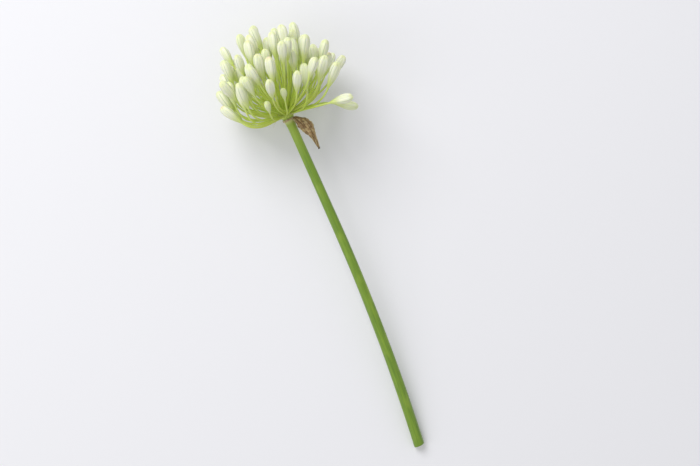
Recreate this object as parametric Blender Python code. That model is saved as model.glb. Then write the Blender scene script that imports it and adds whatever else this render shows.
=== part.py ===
"""Agapanthus flower head in the tight-bud stage, laid on a flat surface.

One smooth scape carries an umbel of closed white buds on thin green pedicels, and one dried spathe
bract hangs beside the hub. The scape runs along Y with the head toward +Y. It rises a little toward
the head, and the flower rests on the cut end of the scape and on its lowest buds. Metres, +Z up,
origin at the centre of the bottom of the bounding box.
"""

import math
import random

import bmesh
import bpy
import numpy as np

MM = 0.001

# Pose
SCAPE_SLOPE = math.radians(7.6)

# Scape
SCAPE_LENGTH = 370 * MM
CUT_RADIUS = 5.6 * MM
NECK_RADIUS = 4.6 * MM
FLARE_RADIUS = 6.1 * MM
FLARE_LENGTH = 16 * MM
FLARE_DEPTHS = (5.5 * MM, 8 * MM, 11 * MM, 14.5 * MM, 19 * MM)
SHAFT_START = 26 * MM
SCAR_RADIUS = 6.8 * MM
SCAR_DEPTH = 2.4 * MM  # from the top of the scape to the middle of the scar
SCAR_STEPS = (-0.81 * MM, -0.36 * MM, 0.36 * MM, 0.98 * MM)  # along the scape, from its middle
SCAR_PROUD = (0, 1, 1, 0)  # how far each of those rings reaches toward the scar's radius
SCAPE_BEND = 15 * MM
BEND_START = 0.3  # share of the length, from the hub, that stays straight
OVAL = 0.95
SCAPE_SIDES = 20
SHAFT_RINGS = 22
HUB_OFFSET = 3.5 * MM  # from the top of the scape to the centre of the hub

# Umbel
HUB_RADIUS = 7.8 * MM
HUB_SEGMENTS = 16
HUB_RINGS = 7
HUB_RIM = 0.3 * MM  # how far the foot of the hub reaches past the top of the scape
JOINT_GAP = 0.3 * MM
FLORETS = 87
STRAYS = 2  # florets on the growth side that stand out level or hang back
SEED = 11
GOLDEN_ANGLE = math.pi * (3 - math.sqrt(5))
ROOT_SPREAD = math.radians(99)
ROOT_SWAY = 0.16
TURN = 0.26  # share of its first angle that a floret keeps at its bud
TURN_SWAY = math.radians(20)
SIDE_SWAY = 0.45
TURN_POWER = 2.3  # a pedicel leaves the hub straight and turns mostly near its bud
GROWTH_LEAN = math.radians(16)  # the buds turn toward this side of the scape
STRAY_ROOT = (math.radians(88), math.radians(96))
STRAY_END = (math.radians(80), math.radians(125))
STRAY_AZIMUTH = (-0.4, 0.8)
INNER_PEDICEL = 66 * MM
OUTER_PEDICEL = 51 * MM
PEDICEL_SPAN = (0.86, 1.16)
WAVE = 0.09  # how far a pedicel's direction swings sideways and back
YOUNG_SHARE = 0.12
YOUNG_SPAN = (0.62, 0.85)
YOUNG_SIZE = (0.42, 0.6)
YOUNG_THIN = 0.25
YOUNG_SLIM = 0.7
BUD_SIZE = (0.84, 1.06)
BUD_LENGTH = 28 * MM
BUD_RADIUS = 5.2 * MM
PEDICEL_RADIUS = 0.95 * MM
OUTLINE_PEAK = 0.5622  # the largest value of a bud's outline before it is scaled to one
PEDICEL_STEPS = 32
BUD_STEPS = 16
FLORET_RINGS = (3, 10, 17, 24, 30, 34, 37, 40, 43, 46)  # steps; the first lies inside the hub
WIDEST_RING = 8
FLORET_SIDES = 6

# Room between the florets
SPREAD_ROUNDS = (90, 20)  # each count is followed by a lowering onto the surface
BUD_GAP = 0.5 * MM
FREE_STEP = 11  # nearer the hub the pedicels are packed together
SURFACE_PUSH = 1.6
SWING_SHARE = 0.8  # of the swing that would clear every overlap, in each round
REST_REACH = 5 * MM  # a bud this near the surface is lowered onto it
REST_ROUNDS = 4

# Spathe bract
BRACT_LENGTH = 39 * MM
BRACT_WIDTH = 13 * MM
BRACT_THICKNESS = 0.7 * MM
BRACT_SEAT = 0.35 * MM  # from the rim of the scar to the middle of the bract's foot
BRACT_REACH = 13 * MM
BRACT_AZIMUTH = math.radians(35)
BRACT_ROLL = math.radians(-62)  # turned this far just past its foot, and on by the next to its tip
BRACT_TURN = math.radians(-55)
BRACT_WAIST = 0.57  # share of the length where the blade narrows to its beak
BRACT_CUP = 0.3
BRACT_FOLD = 0.8 * MM
BRACT_ROWS = 16
BRACT_COLUMNS = 8


def clear_scene():
    for item in list(bpy.data.objects):
        bpy.data.objects.remove(item, do_unlink=True)


def material(name, colour, roughness):
    made = bpy.data.materials.new(name)
    made.use_nodes = True
    shader = made.node_tree.nodes["Principled BSDF"]
    shader.inputs["Base Color"].default_value = (*colour, 1)
    shader.inputs["Roughness"].default_value = roughness
    shader.inputs["Metallic"].default_value = 0
    return made


def mesh_object(name, points, faces):
    mesh = bpy.data.meshes.new(name)
    mesh.from_pydata([tuple(p) for p in points], [], [tuple(f) for f in faces])
    mesh.update()
    made = bpy.data.objects.new(name, mesh)
    bpy.context.scene.collection.objects.link(made)
    return made


def tube(rings, pole=None):
    """Points and faces of a closed tube through the rings, with a flat first end and, where a pole
    is given, a pointed last end."""
    count, sides, _ = rings.shape
    points = rings.reshape(-1, 3)
    start = np.arange(count - 1)[:, None] * sides
    here = np.arange(sides)[None, :]
    after = (here + 1) % sides
    quads = np.stack([start + here, start + after, start + sides + after, start + sides + here], -1)
    faces = [tuple(q) for q in quads.reshape(-1, 4)]
    faces.append(tuple(range(sides - 1, -1, -1)))
    last = (count - 1) * sides
    if pole is None:
        faces.append(tuple(range(last, last + sides)))
    else:
        points = np.concatenate([points, pole[None]])
        faces += [(last + k, last + (k + 1) % sides, count * sides) for k in range(sides)]
    return points, faces


def unit(vectors):
    return vectors / np.linalg.norm(vectors, axis=-1, keepdims=True)


# Scape: straight near the hub, bent sideways toward its cut end, flared under the umbel

AXIS = np.array([0.0, math.cos(SCAPE_SLOPE), math.sin(SCAPE_SLOPE)])
SIDE = np.array([1.0, 0.0, 0.0])
OVER = np.array([0.0, -math.sin(SCAPE_SLOPE), math.cos(SCAPE_SLOPE)])
HUB_HEIGHT = (SCAPE_LENGTH + HUB_OFFSET) * math.sin(SCAPE_SLOPE) + CUT_RADIUS * OVAL * math.cos(
    SCAPE_SLOPE
)
HUB = np.array([0.0, 0.0, HUB_HEIGHT])


def scape_centre(depth):
    """Centre of the scape at these depths under its top."""
    curve = np.clip((depth / SCAPE_LENGTH - BEND_START) / (1 - BEND_START), 0, 1) ** 2
    return (
        HUB
        - AXIS * (HUB_OFFSET + depth)[:, None]
        - SIDE * (SCAPE_BEND * curve)[:, None]
    )


def scape_radius(depth):
    slim = NECK_RADIUS + (CUT_RADIUS - NECK_RADIUS) * depth / SCAPE_LENGTH
    flare = np.clip(1 - depth / FLARE_LENGTH, 0, 1) ** 2
    return slim + (FLARE_RADIUS - NECK_RADIUS) * flare


def scape():
    scar = SCAR_DEPTH + np.array(SCAR_STEPS)
    shaft = np.linspace(SHAFT_START, SCAPE_LENGTH, SHAFT_RINGS)
    depth = np.concatenate([[0], scar, FLARE_DEPTHS, shaft])
    radius = scape_radius(depth)
    radius[1:5] += (SCAR_RADIUS - radius[1:5]) * np.array(SCAR_PROUD)
    turn = np.linspace(0, 2 * math.pi, SCAPE_SIDES, endpoint=False)
    across = np.cos(turn)[:, None] * SIDE + OVAL * np.sin(turn)[:, None] * OVER
    rings = scape_centre(depth)[:, None] + radius[:, None, None] * across[None]
    return mesh_object("scape", *tube(rings))


# Umbel: every floret is one pedicel that widens into one closed bud


def floret_rule():
    """Per floret: first direction and bud direction, growth of the bud, length of the pedicel and
    its sideways wave."""
    draw = random.Random(SEED)
    lean = AXIS * math.cos(GROWTH_LEAN) + SIDE * math.sin(GROWTH_LEAN)
    first, last, growth, length, wave = [], [], [], [], []
    for i in range(FLORETS + STRAYS):
        share = (i + 0.5) / FLORETS
        stray = i >= FLORETS
        if stray:
            root = draw.uniform(*STRAY_ROOT)
            azimuth = draw.uniform(*STRAY_AZIMUTH)
        else:
            root = math.acos(1 - share * (1 - math.cos(ROOT_SPREAD)))
            azimuth = i * GOLDEN_ANGLE + draw.uniform(-ROOT_SWAY, ROOT_SWAY)
        out = SIDE * math.cos(azimuth) + OVER * math.sin(azimuth)
        start = AXIS * math.cos(root) + out * math.sin(root)
        away = start - lean * (start @ lean)
        away = away / np.linalg.norm(away)
        across = np.cross(lean, away)
        sway = draw.uniform(-SIDE_SWAY, SIDE_SWAY)
        away = away * math.cos(sway) + across * math.sin(sway)
        end = TURN * math.acos(start @ lean) + draw.uniform(-TURN_SWAY, TURN_SWAY)
        if stray:
            end = draw.uniform(*STRAY_END)
        young = draw.random() < YOUNG_SHARE
        size = draw.uniform(*(YOUNG_SIZE if young else BUD_SIZE))
        span = INNER_PEDICEL + (OUTER_PEDICEL - INNER_PEDICEL) * min(share, 1)
        span *= draw.uniform(*(YOUNG_SPAN if young else PEDICEL_SPAN))
        first.append(start)
        last.append(lean * math.cos(end) + away * math.sin(end))
        growth.append(size)
        length.append(span)
        wave.append(across * draw.uniform(-WAVE, WAVE))
    return [np.array(column) for column in (first, last, growth, length, wave)]


def floret_paths(first, last, growth, length, wave):
    """Centre lines from the hub to the bud tips: each turns smoothly from its first direction to
    that of its bud, which bends only a little further."""
    along = np.linspace(0, 1, PEDICEL_STEPS + 1)
    blend = np.concatenate([along**TURN_POWER, np.ones(BUD_STEPS)])[None, :, None]
    swell = np.concatenate([np.sin(2 * math.pi * along), np.zeros(BUD_STEPS)])[None, :, None]
    aim = unit(first[:, None] * (1 - blend) + last[:, None] * blend + wave[:, None] * swell)
    step = np.concatenate(
        [
            np.repeat((length / PEDICEL_STEPS)[:, None], PEDICEL_STEPS, 1),
            np.repeat((BUD_LENGTH * growth / BUD_STEPS)[:, None], BUD_STEPS, 1),
        ],
        1,
    )
    moves = (aim[:, 1:] + aim[:, :-1]) / 2 * step[:, :, None]
    start = np.zeros((len(first), 1, 3))
    return HUB + np.concatenate([start, np.cumsum(moves, 1)], 1)


def bud_outline(share):
    """Radius of a bud along its length, against its widest: a long taper from the pedicel, the
    widest place past the middle, and a short rounded tip."""
    return share**0.85 * np.clip(1 - share**2.7, 0, 1) ** 0.57 / OUTLINE_PEAK


def floret_radii(growth):
    along = np.linspace(0, 1, BUD_STEPS + 1)
    thin = PEDICEL_RADIUS * (1 - YOUNG_THIN * (1 - growth))
    wide = BUD_RADIUS * (1 - YOUNG_SLIM * (1 - growth))
    stalk = thin[:, None] * np.sqrt(1 - along)[None]
    bud = np.hypot(stalk, wide[:, None] * bud_outline(along)[None])
    return np.concatenate([np.repeat(thin[:, None], PEDICEL_STEPS, 1), bud], 1)


def turned(paths, spin):
    """The paths turned about the hub by these rotation vectors."""
    angle = np.linalg.norm(spin, axis=1)[:, None, None]
    pivot = spin[:, None] / (angle + 1e-12)
    arm = paths - HUB
    beside = np.cross(np.broadcast_to(pivot, arm.shape), arm)
    along = pivot * (arm * pivot).sum(-1, keepdims=True)
    return HUB + arm * np.cos(angle) + beside * np.sin(angle) + along * (1 - np.cos(angle))


def spread(paths, radii):
    """Swings the florets about the hub until buds and pedicels have room beside each other and
    none reaches under the surface, then lowers the nearest buds onto it."""
    count = len(paths)
    take = np.arange(FREE_STEP, paths.shape[1], 3)
    size = radii[:, take].reshape(-1)
    owner = np.repeat(np.arange(count), len(take))
    room = size[:, None] + size[None] + BUD_GAP
    room[owner[:, None] == owner[None]] = 0
    for rounds in SPREAD_ROUNDS:
        for _ in range(rounds):
            arm = (paths[:, take] - HUB).reshape(-1, 3)
            apart = arm[:, None] - arm[None]
            distance = np.sqrt((apart**2).sum(-1)) + 1e-9
            short = np.clip(room - distance, 0, None) / 2
            push = (apart * (short / distance)[..., None]).sum(1)
            under = arm[:, 2] + HUB_HEIGHT - size
            push[:, 2] += SURFACE_PUSH * np.clip(-under, 0, None)
            torque = np.cross(arm, push).reshape(count, -1, 3).sum(1)
            moved = np.abs(push).sum(-1) > 0
            weight = np.where(moved, (arm**2).sum(-1), 0).reshape(count, -1).sum(1) + 1e-12
            paths = turned(paths, SWING_SHARE * torque / weight[:, None])
        for _ in range(REST_ROUNDS):
            steep = unit(np.gradient(paths, axis=1))[..., 2]
            low = paths[..., 2] - radii * np.sqrt(1 - steep**2)
            lowest = low.argmin(1)
            arm = paths[np.arange(count), lowest] - HUB
            fall = low.min(1)
            fall = np.where(fall < REST_REACH, fall, 0)
            push = np.zeros((count, 3))
            push[:, 2] = -fall
            reach = arm[:, 0] ** 2 + arm[:, 1] ** 2 + 1e-12
            spin = np.cross(arm, push) / reach[:, None]
            paths = turned(paths, spin)
    return paths


def floret_rings(paths, radii):
    """Ring points of every floret. Each widest ring has one corner straight down, and the other
    rings follow it along the path without twist."""
    tangent = unit(np.gradient(paths, axis=1))
    take = list(FLORET_RINGS)
    centre, aim, radius = paths[:, take], tangent[:, take], radii[:, take]
    frame = np.zeros_like(centre)
    down = np.broadcast_to(np.array([0.0, 0.0, -1.0]), centre[:, 0].shape)

    def square(vector, k):
        return unit(vector - aim[:, k] * (vector * aim[:, k]).sum(-1, keepdims=True))

    frame[:, WIDEST_RING] = square(down, WIDEST_RING)
    for k in range(WIDEST_RING + 1, len(take)):
        frame[:, k] = square(frame[:, k - 1], k)
    for k in range(WIDEST_RING - 1, -1, -1):
        frame[:, k] = square(frame[:, k + 1], k)
    beside = np.cross(aim, frame)
    turn = np.linspace(0, 2 * math.pi, FLORET_SIDES, endpoint=False)
    circle = (
        frame[:, :, None] * np.cos(turn)[None, None, :, None]
        + beside[:, :, None] * np.sin(turn)[None, None, :, None]
    )
    return centre[:, :, None] + radius[:, :, None, None] * circle


def hub_dome():
    """A ball round the hub, cut flat just above the top of the scape."""
    flat = HUB_OFFSET - JOINT_GAP
    lowest = math.acos(-flat / HUB_RADIUS)
    angle = np.linspace(lowest, 0, HUB_RINGS + 1)[:-1]
    turn = np.linspace(0, 2 * math.pi, HUB_SEGMENTS, endpoint=False)
    across = np.cos(turn)[:, None] * SIDE + np.sin(turn)[:, None] * OVER
    centre = HUB + AXIS * (HUB_RADIUS * np.cos(angle))[:, None]
    rings = centre[:, None] + (HUB_RADIUS * np.sin(angle))[:, None, None] * across[None]
    rings[0] = centre[0] + (FLARE_RADIUS + HUB_RIM) * across
    return tube(rings, HUB + AXIS * HUB_RADIUS)


def keep_outer_body(item):
    """Drops sealed hollows and loose scraps: of the shells of the mesh only the largest stays."""
    shape = bmesh.new()
    shape.from_mesh(item.data)
    bmesh.ops.remove_doubles(shape, verts=shape.verts, dist=1e-6)
    unseen = set(shape.verts)
    shells = []
    while unseen:
        edge = [unseen.pop()]
        shell = set(edge)
        while edge:
            near = {e.other_vert(v) for v in edge for e in v.link_edges} & unseen
            unseen -= near
            shell |= near
            edge = list(near)
        shells.append(shell)
    shells.sort(key=len)
    loose = [v for shell in shells[:-1] for v in shell]
    bmesh.ops.delete(shape, geom=loose, context="VERTS")
    bmesh.ops.triangulate(shape, faces=shape.faces)
    shape.to_mesh(item.data)
    shape.free()


def umbel(paths, radii):
    hub = mesh_object("umbel", *hub_dome())
    florets = bpy.data.collections.new("florets")
    rings = floret_rings(paths, radii)
    for k, (shape, path) in enumerate(zip(rings, paths)):
        single = mesh_object(f"floret_{k:02d}", *tube(shape, path[-1]))
        bpy.context.scene.collection.objects.unlink(single)
        florets.objects.link(single)
    join = hub.modifiers.new("join", "BOOLEAN")
    join.operation = "UNION"
    join.operand_type = "COLLECTION"
    join.collection = florets
    join.solver = "EXACT"
    bpy.context.view_layer.update()
    graph = bpy.context.evaluated_depsgraph_get()
    joined = bpy.data.meshes.new_from_object(hub.evaluated_get(graph))
    hub.modifiers.clear()
    hub.data = joined
    for single in list(florets.objects):
        bpy.data.objects.remove(single, do_unlink=True)
    bpy.data.collections.remove(florets)
    keep_outer_body(hub)
    return hub


# Spathe bract: a dried leaf that hangs from the scar, cupped across and twisted toward its tip


def spathe_bract():
    share = np.linspace(0, 1, BRACT_ROWS)
    foot = HUB - AXIS * (HUB_OFFSET + SCAR_DEPTH)
    out = SIDE * math.cos(BRACT_AZIMUTH) + OVER * math.sin(BRACT_AZIMUTH)
    swing = 1 - np.exp(-3.2 * share)
    centre = (
        foot
        + out * (SCAR_RADIUS + BRACT_SEAT + BRACT_REACH * swing)[:, None]
        - AXIS * (BRACT_LENGTH * share**1.15)[:, None]
    )
    aim = unit(np.gradient(centre, axis=0))
    flat = unit(np.cross(aim, out))
    face = np.cross(flat, aim)
    twist = BRACT_ROLL * (1 - np.exp(-7 * share)) + BRACT_TURN * share**3
    wide = flat * np.cos(twist)[:, None] + face * np.sin(twist)[:, None]
    thick = np.cross(aim, wide)
    blade = 1 / (1 + np.exp((share - BRACT_WAIST) / 0.055))
    beak = 0.95 * (1.04 - share) ** 0.8
    rise = 0.42 + 0.58 * np.sin(np.clip(share / 0.3, 0, 1) * math.pi / 2)
    breadth = BRACT_WIDTH * rise * (blade + (1 - blade) * beak)
    across = np.linspace(-1, 1, BRACT_COLUMNS)
    sheet = (
        centre[:, None]
        + wide[:, None] * (breadth[:, None] / 2 * across[None])[..., None]
        + thick[:, None] * (breadth[:, None] * BRACT_CUP * (across**2 - 0.35)[None])[..., None]
    )
    fold = BRACT_FOLD * np.sin(5.2 * across)[None] * np.sin(9 * share + 0.6)[:, None]
    sheet = sheet + thick[:, None] * fold[..., None]
    down = np.gradient(sheet, axis=0)
    over = np.gradient(sheet, axis=1)
    normal = unit(np.cross(over, down)) * BRACT_THICKNESS / 2
    loop = np.concatenate([sheet + normal, (sheet - normal)[:, ::-1]], 1)
    return mesh_object("spathe_bract", *tube(loop))


clear_scene()
rule = floret_rule()
floret_radius = floret_radii(rule[2])
floret_path = spread(floret_paths(*rule), floret_radius)
nodes = [scape(), umbel(floret_path, floret_radius), spathe_bract()]
looks = [
    material("scape_green", (0.15, 0.26, 0.045), 0.45),
    material("bud_white", (0.69, 0.74, 0.5), 0.55),
    material("bract_brown", (0.3, 0.18, 0.09), 0.8),
]
for node, look in zip(nodes, looks):
    node.data.materials.clear()
    node.data.materials.append(look)

corners = np.concatenate([[tuple(v.co) for v in node.data.vertices] for node in nodes])
low = corners.min(0)
high = corners.max(0)
shift = (-(low[0] + high[0]) / 2, -(low[1] + high[1]) / 2, -low[2])
for node in nodes:
    for vertex in node.data.vertices:
        vertex.co.x += shift[0]
        vertex.co.y += shift[1]
        vertex.co.z += shift[2]
    node.data.update()
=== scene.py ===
"""Agapanthus flower head in tight white bud, cut and lying on a pale surface, seen from above.

The pieces follow the flower as it grows: the green scape with its scar, the hub and its pedicels,
the buds, the threads among them, and the dried bract. Then come the surface, light and camera.
The sizes, and the rules that place the florets and the bract, are those of the solid model, so
every finer piece lies on the solid that it replaces.
"""

import math
import random

import bpy
import numpy as np
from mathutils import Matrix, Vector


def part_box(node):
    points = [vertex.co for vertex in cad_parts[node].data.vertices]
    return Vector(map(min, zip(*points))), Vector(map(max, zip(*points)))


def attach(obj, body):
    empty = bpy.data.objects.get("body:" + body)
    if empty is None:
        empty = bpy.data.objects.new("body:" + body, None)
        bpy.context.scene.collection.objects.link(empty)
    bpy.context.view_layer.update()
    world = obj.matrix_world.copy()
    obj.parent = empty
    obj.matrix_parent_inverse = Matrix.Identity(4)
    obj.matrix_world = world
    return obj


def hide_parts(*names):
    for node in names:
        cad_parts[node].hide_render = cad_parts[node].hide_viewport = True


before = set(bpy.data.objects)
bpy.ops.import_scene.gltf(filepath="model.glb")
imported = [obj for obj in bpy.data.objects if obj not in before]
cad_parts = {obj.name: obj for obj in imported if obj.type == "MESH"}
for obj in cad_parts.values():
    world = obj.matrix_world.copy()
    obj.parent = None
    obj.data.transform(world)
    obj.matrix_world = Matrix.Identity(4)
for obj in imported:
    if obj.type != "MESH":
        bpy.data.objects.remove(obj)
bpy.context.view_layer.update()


# The scape
# One round, leafless green stalk, cut flat at its foot. Its skin is smooth and waxy with faint
# lengthwise ribs. It bends a little and widens under the umbel to the corky scar of its bracts.

MM = 0.001
FULL_TURN = 2 * math.pi

# Seeded waves start anywhere in about a full turn. The next two are how many crests they have round
# a tube, and how many radians they run in a metre along it.
PHASES = (0, 6.3)
CRESTS = (1, 9)
PITCHES = (8, 90)

# AXIS runs up the scape, which rises toward the head. SIDE lies level across it, and OVER is square
# to both.
SCAPE_SLOPE = math.radians(7.6)
AXIS = np.array([0.0, math.cos(SCAPE_SLOPE), math.sin(SCAPE_SLOPE)])
SIDE = np.array([1.0, 0.0, 0.0])
OVER = np.array([0.0, -math.sin(SCAPE_SLOPE), math.cos(SCAPE_SLOPE)])

SCAPE_LENGTH = 370 * MM
CUT_RADIUS = 5.6 * MM
NECK_RADIUS = 4.6 * MM
OVAL = 0.95  # height of its section against its width
SCAPE_BEND = 15 * MM
BEND_START = 0.3  # share of the length, from the hub, that stays straight
FLARE_RADIUS = 6.1 * MM
FLARE_LENGTH = 16 * MM
SCAR_RADIUS = 6.8 * MM
SCAR_DEPTH = 2.4 * MM  # from the top of the scape to the middle of the scar
HUB_OFFSET = 3.5 * MM  # from the top of the scape to the centre of the hub
RIBS = 9
RIB_HEIGHT = 0.05 * MM
RIB_SWAY = 2.2  # how far the ribs wind to and fro round the scape, in radians of their own wave
RIB_PITCH = 9  # of that winding, in radians a metre
RIB_FADE = 20 * MM  # depth at which the ribs have their full height
SCAR_TEETH = 17  # ragged points round the scar
TOOTH_SHARE = 0.25  # of how ragged a row is; slow waves have the next share
TEAR_SHARE = 0.5
RAGGED_SWELL = 0.2  # how far the torn skin of the scar swells, against how far it is torn

# Depths under the top of the scape
TOP_DEPTHS = (0.0, 0.6 * MM)
SCAR_PROFILE = MM * np.array(
    [  # depth, radius, and how ragged
        (1.2, 5.9, 0.0),
        (2.0, 6.15, 0.2),
        (1.75, 6.45, 0.9),
        (1.65, 6.72, 1.0),
        (2.1, 6.8, 0.5),
        (2.8, 6.72, 0.2),
        (3.3, 6.3, 0.1),
        (3.9, 5.75, 0.0),
    ]
)
FLARE_SPAN = (4.6 * MM, 26 * MM)
FLARE_ROWS = 26
SHAFT_SPAN = (28 * MM, SCAPE_LENGTH - 2 * MM)
SHAFT_ROWS = 190
CUT_PROFILE = np.array(
    [  # height over the foot in mm, and share of the radius: a soft edge, then a hollow face
        (0.6, 1.0),
        (0.15, 0.985),
        (0.0, 0.94),
        (0.0, 0.8),
        (0.25, 0.6),
        (0.4, 0.3),
        (0.45, 0.03),
    ]
)
SCAPE_SIDES = 72
FACE_SPAN = 0.1  # what the second UV value gains from the edge of the cut to its middle

STALK_GREEN = (0.11, 0.212, 0.014)
STREAK_GREEN = (0.2, 0.33, 0.022)
PATCH_GREEN = (0.28, 0.41, 0.038)
FLECK_GREEN = (0.31, 0.43, 0.06)
NECK_GREEN = (0.37, 0.49, 0.06)
SPOT_BROWN = (0.06, 0.055, 0.02)
RIM_STRAW = (0.6, 0.6, 0.25)
CORK_BROWN = (0.26, 0.15, 0.055)
CORK_STRAW = (0.74, 0.63, 0.4)
CORK_DARK = (0.17, 0.085, 0.035)
RIND_GREEN = (0.2, 0.31, 0.06)
PITH_GREEN = (0.55, 0.62, 0.3)
PITH_CREAM = (0.62, 0.66, 0.4)
STRAND_GREEN = (0.33, 0.4, 0.12)

# The cut's rim rests on the surface, which gives the height of the hub. Along X the scape reaches
# furthest with its scar, and along Y with the lowest point of its top ring.
scape_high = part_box("scape")[1]
cut_height = CUT_RADIUS * OVAL * math.cos(SCAPE_SLOPE)
ring_reach = FLARE_RADIUS * OVAL * math.sin(SCAPE_SLOPE)
HUB = np.array(
    [
        scape_high[0] - SCAR_RADIUS,
        scape_high[1] - ring_reach + HUB_OFFSET * math.cos(SCAPE_SLOPE),
        (SCAPE_LENGTH + HUB_OFFSET) * math.sin(SCAPE_SLOPE) + cut_height,
    ]
)


def unit(vectors):
    """Each vector divided by its length."""
    return vectors / np.linalg.norm(vectors, axis=-1, keepdims=True)


def scape_centre(depth):
    """Centre of the scape at a depth under its top: straight back from the hub, then bent
    sideways by the square of how far the depth is past the start of the bend."""
    curve = np.clip((depth / SCAPE_LENGTH - BEND_START) / (1 - BEND_START), 0, 1) ** 2
    back = AXIS * (HUB_OFFSET + depth)[..., None]
    return HUB - back - SIDE * (SCAPE_BEND * curve)[..., None]


def scape_radius(depth):
    """Radius at a depth: a straight taper and, under the hub, a flare that fades as a square."""
    slim = NECK_RADIUS + (CUT_RADIUS - NECK_RADIUS) * depth / SCAPE_LENGTH
    flare = np.clip(1 - depth / FLARE_LENGTH, 0, 1) ** 2
    return slim + (FLARE_RADIUS - NECK_RADIUS) * flare


def wander(turn, depth, seed, waves):
    """Smooth noise between about -1 and 1: a sum of sines of the angle and the depth."""
    draw = random.Random(seed)
    total = np.zeros(np.broadcast(turn, depth).shape)
    for _ in range(waves):
        count, pitch = draw.randint(*CRESTS), draw.uniform(*PITCHES)
        total = total + np.sin(count * turn + depth * pitch + draw.uniform(*PHASES))
    return total / math.sqrt(waves)


def skin(name, rings, foot, head, along, traits=None, around=None):
    """One mesh of closed tubes. rings is tubes by rows by sides, and each tube closes at its points
    of foot and head. UV runs once round the tube, or by the values of around, and along it by each
    row's value of along. traits are named numbers, one for each tube, kept on its points."""
    tubes, rows, sides, _ = rings.shape
    size = rows * sides
    points = np.concatenate([rings.reshape(tubes, size, 3), foot[:, None], head[:, None]], 1)
    here = np.arange(sides)
    after = (here + 1) % sides
    row = np.arange(rows - 1)[:, None] * sides
    quads = np.stack([row + here, row + after, row + sides + after, row + sides + here], -1)
    foot_fan = np.stack([after, here, np.full(sides, size)], -1)
    head_fan = np.stack([size - sides + here, size - sides + after, np.full(sides, size + 1)], -1)
    around = np.linspace(0, 1, sides + 1) if around is None else around
    left, right = around[:-1], around[1:]
    low = np.repeat(along[:-1], sides)
    high = np.repeat(along[1:], sides)
    quad_u = np.tile(np.stack([left, right, right, left], -1), (rows - 1, 1))
    quad_uv = np.stack([quad_u, np.stack([low, low, high, high], -1)], -1)
    middle = (left + right) / 2
    foot_uv = np.stack([np.stack([right, left, middle], -1), np.full((sides, 3), along[0])], -1)
    head_uv = np.stack([np.stack([left, right, middle], -1), np.full((sides, 3), along[-1])], -1)
    faces, uv = [], []
    start = np.arange(tubes)[:, None, None] * (size + 2)
    shapes = ((quads.reshape(-1, 4), quad_uv), (foot_fan, foot_uv), (head_fan, head_uv))
    for corners, flat in shapes:
        faces += (start + corners).reshape(-1, corners.shape[1]).tolist()
        uv.append(np.tile(flat.reshape(-1, 2), (tubes, 1)))
    mesh = bpy.data.meshes.new(name)
    mesh.from_pydata(points.reshape(-1, 3).tolist(), [], faces)
    mesh.uv_layers.new(name="UVMap").data.foreach_set("uv", np.concatenate(uv).ravel())
    for trait, numbers in (traits or {}).items():
        kept = mesh.attributes.new(trait, "FLOAT", "POINT")
        kept.data.foreach_set("value", np.repeat(numbers, size + 2))
    mesh.shade_smooth()
    made = bpy.data.objects.new(name, mesh)
    bpy.context.scene.collection.objects.link(made)
    return made


scar_depth, scar_radius, scar_ragged = SCAR_PROFILE.T
face_height, face_share = CUT_PROFILE.T
depth = np.concatenate(
    [
        TOP_DEPTHS,
        scar_depth,
        np.linspace(*FLARE_SPAN, FLARE_ROWS),
        np.linspace(*SHAFT_SPAN, SHAFT_ROWS),
        SCAPE_LENGTH - MM * face_height,
    ]
)
scar = slice(len(TOP_DEPTHS), len(TOP_DEPTHS) + len(scar_depth))
face = slice(-len(face_share), None)
radius = scape_radius(depth)
radius[scar] = scar_radius
radius[face] *= face_share
ragged = np.zeros((len(depth), 1))
ragged[scar, 0] = scar_ragged
turn = np.linspace(0, FULL_TURN, SCAPE_SIDES, endpoint=False)
torn = TEAR_SHARE * wander(turn[None], np.zeros((1, 1)), seed=4, waves=5)
torn = torn + TOOTH_SHARE * np.sin(SCAR_TEETH * turn + 2)[None]
rib = RIB_HEIGHT * np.cos(RIBS * turn[None] + RIB_SWAY * np.sin(RIB_PITCH * depth[:, None]))
rib = rib + RIB_HEIGHT * wander(turn[None], depth[:, None], seed=8, waves=7)
rib = rib * np.clip(depth / RIB_FADE, 0, 1)[:, None] * (radius / CUT_RADIUS)[:, None]
centre = scape_centre(depth[:, None] - ragged * torn)
wide = (radius[:, None] + rib + RAGGED_SWELL * ragged * torn)[..., None]
across = np.cos(turn)[:, None] * SIDE + OVAL * np.sin(turn)[:, None] * OVER
rings = centre + wide * across
along = depth / SCAPE_LENGTH
along[face] = 1 + FACE_SPAN * (1 - face_share)
# The rows run from the cut up to the hub, so that the faces look outward.
scape = skin(
    "scape_stalk",
    rings[::-1][None],
    scape_centre(depth[-1:]),
    scape_centre(depth[:1]),
    along[::-1],
)


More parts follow.
